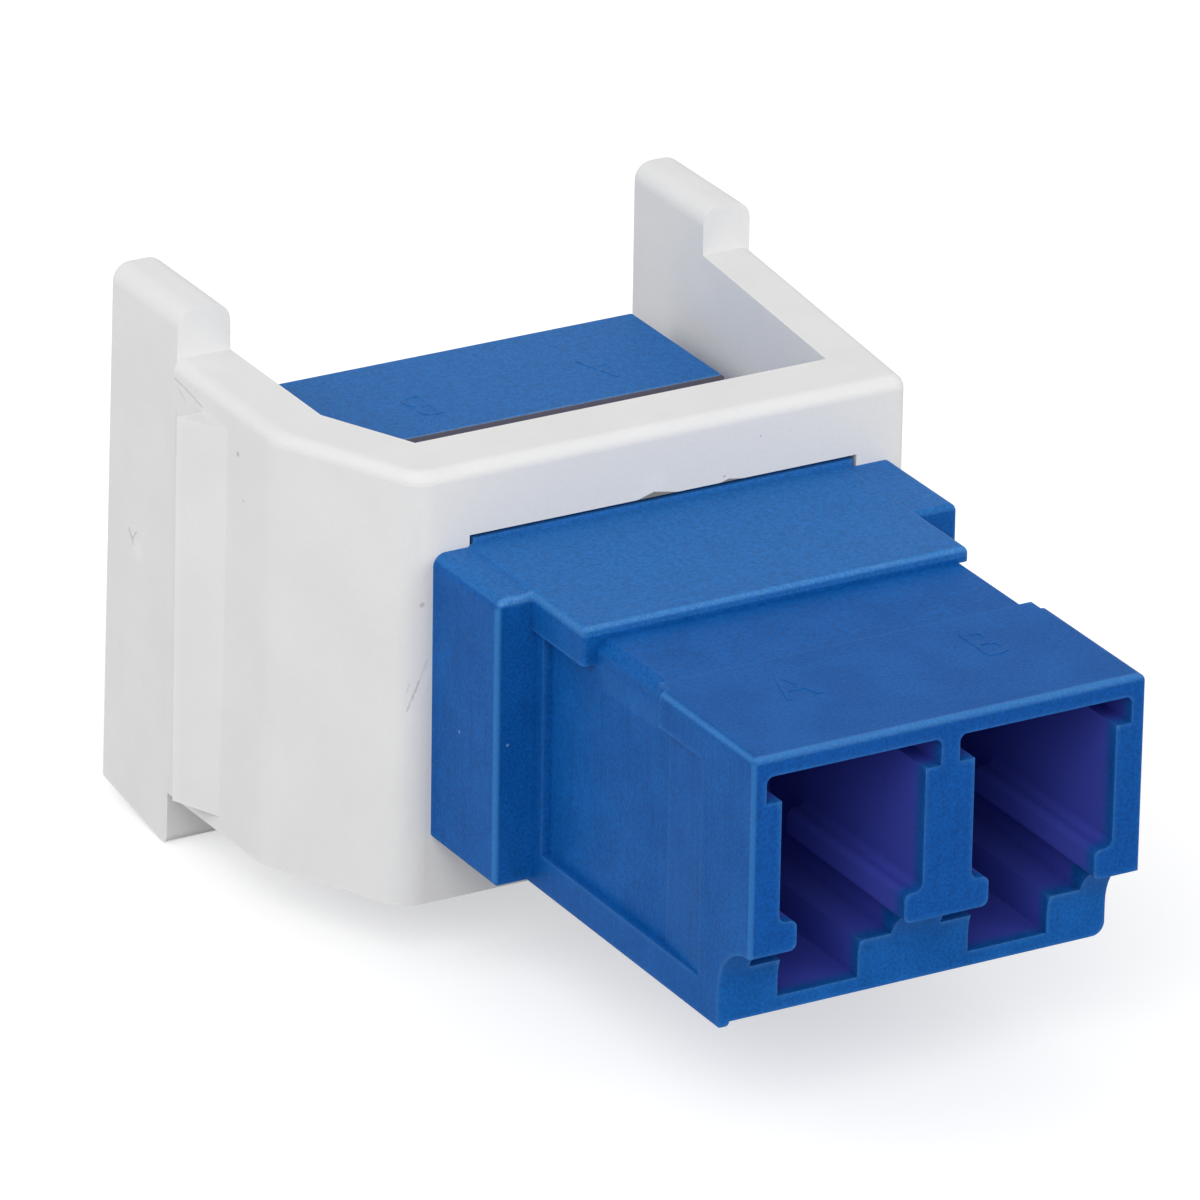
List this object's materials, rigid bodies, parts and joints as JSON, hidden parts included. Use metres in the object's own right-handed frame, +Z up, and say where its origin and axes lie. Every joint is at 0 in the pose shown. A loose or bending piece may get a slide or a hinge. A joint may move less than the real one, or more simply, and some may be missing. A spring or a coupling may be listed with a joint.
{
  "type": "lc fibre adapter",
  "caption": "Duplex fibre adapter with a flange, seated in a one-piece U-shaped snap-in frame with wedges and rear lugs.",
  "frame": {"origin": "midway between the two ferrule axes, on the plane where the lugs bear on a panel", "axes": "+X across the two ports, +Y from the front ports to the rear ones, +Z up, away from the latch slots"},
  "size_m": [0.0213, 0.0315, 0.0171],
  "materials": {
    "frame_plastic": "satin",
    "housing_plastic": "satin",
    "sleeve_ceramic": "polished"
  },
  "bodies": {
    "root": {"mounting_frame": "frame_plastic", "front_housing": "housing_plastic", "rear_housing": "housing_plastic", "alignment_sleeve_a": "sleeve_ceramic", "alignment_sleeve_b": "sleeve_ceramic"}
  },
  "joints": []
}
